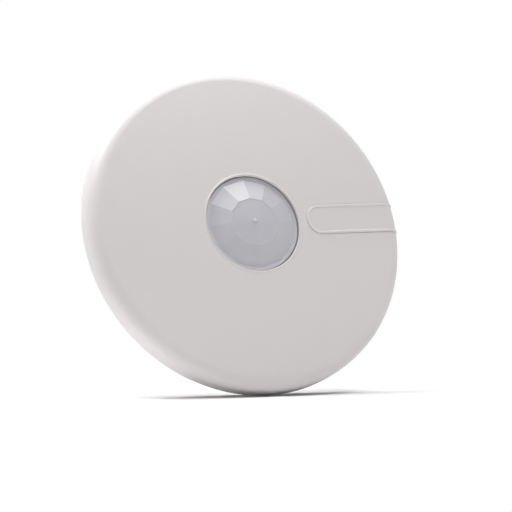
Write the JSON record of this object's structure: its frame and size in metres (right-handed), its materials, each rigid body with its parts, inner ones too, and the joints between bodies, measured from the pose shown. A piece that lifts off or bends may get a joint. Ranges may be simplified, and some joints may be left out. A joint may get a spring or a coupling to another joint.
{
  "type": "ceiling motion detector",
  "caption": "Shallow round ceiling motion detector: a hinged domed cover with a faceted infrared lens and a slide-out name strip, over a screw-on tray with its circuit board.",
  "frame": {"origin": "centre of the flat back of the tray, which lies on the ceiling", "axes": "+Y points out of the back, into the ceiling; the lens looks along -Y; +Z is up as the disc stands on its rim in the picture; +X points to the name strip. On a ceiling +Y is up."},
  "size_m": [0.1274, 0.0224, 0.127],
  "materials": {
    "cover_plastic": "fine satin moulded ABS",
    "tray_plastic": "satin moulded ABS",
    "lens_plastic": "milky polyethylene",
    "dark_plastic": "black moulded plastic",
    "board_green": "green solder mask",
    "steel": "zinc plated steel",
    "sensor_metal": "nickel plated can",
    "window_dark": "dark silicon filter",
    "gold_lead": "gold plated wire",
    "led_red": "clear red epoxy",
    "terminal_green": "green polyamide",
    "nylon_white": "white nylon",
    "switch_blue": "blue moulded plastic",
    "trimmer_blue": "blue moulded plastic",
    "relay_amber": "amber polycarbonate",
    "chip_black": "black epoxy",
    "tin": "bright tin",
    "can_sleeve": "dark blue sleeve",
    "ceramic_tan": "tan ceramic"
  },
  "bodies": {
    "base": {"base_plate": "tray_plastic", "circuit_board": "board_green", "board_screws": "steel", "sensor_holder": "dark_plastic", "sensor_can": "sensor_metal", "sensor_window": "window_dark", "sensor_leads": "gold_lead", "walk_test_led": "led_red", "terminal_block": "terminal_green", "terminal_clamps": "tin", "terminal_screws": "steel", "tamper_switch_body": "dark_plastic", "switch_bank_body": "switch_blue", "trimmer_body": "trimmer_blue", "alarm_relay": "relay_amber", "processor_chip": "chip_black", "amplifier_chip": "chip_black", "voltage_regulator": "chip_black", "chip_feet": "tin", "crystal_resonator": "tin", "electrolytic_capacitors": "can_sleeve", "chip_resistors": "chip_black", "chip_capacitors": "ceramic_tan"},
    "cover": {"front_cover": "cover_plastic", "lens": "lens_plastic", "lens_retainer": "dark_plastic"},
    "name_strip": {"name_strip": "cover_plastic"},
    "lock_screw": {"lock_screw": "steel", "lock_washer": "nylon_white"},
    "tamper_button": {"tamper_button": "nylon_white"},
    "mode_slider_1": {"mode_slider_1": "nylon_white"},
    "mode_slider_2": {"mode_slider_2": "nylon_white"},
    "mode_slider_3": {"mode_slider_3": "nylon_white"},
    "trimmer_rotor": {"trimmer_rotor": "nylon_white"}
  },
  "joints": [
    {"name": "cover_hinge", "type": "hinge", "parent": "base", "child": "cover", "pos_m": [-0.0562, -0.0092, 0], "axis": [0, 0, -1], "range_deg": [0, 60]},
    {"name": "name_strip_slide", "type": "slide", "parent": "cover", "child": "name_strip", "axis": [0.998, 0.0633, 0], "range_m": [0, 0.038]},
    {"name": "lock_screw_turn", "type": "hinge", "parent": "cover", "child": "lock_screw", "pos_m": [0.047, -0.014, 0], "axis": [0, -1, 0], "continuous": true},
    {"name": "tamper_button_travel", "type": "slide", "parent": "base", "child": "tamper_button", "axis": [0, -1, 0], "range_m": [0, 0.0012]},
    {"name": "trimmer_turn", "type": "hinge", "parent": "base", "child": "trimmer_rotor", "pos_m": [-0.022, -0.0095, 0.015], "axis": [0, -1, 0], "range_deg": [-130, 130]},
    {"name": "mode_slider_1_travel", "type": "slide", "parent": "base", "child": "mode_slider_1", "axis": [0, 0, 1], "range_m": [0, 0.0016]},
    {"name": "mode_slider_2_travel", "type": "slide", "parent": "base", "child": "mode_slider_2", "axis": [0, 0, 1], "range_m": [0, 0.0016]},
    {"name": "mode_slider_3_travel", "type": "slide", "parent": "base", "child": "mode_slider_3", "axis": [0, 0, 1], "range_m": [0, 0.0016]}
  ],
  "couplings": [
    {"joint": "tamper_button_travel", "follows": "cover_hinge", "m_per_rad": 0.0011459}
  ]
}
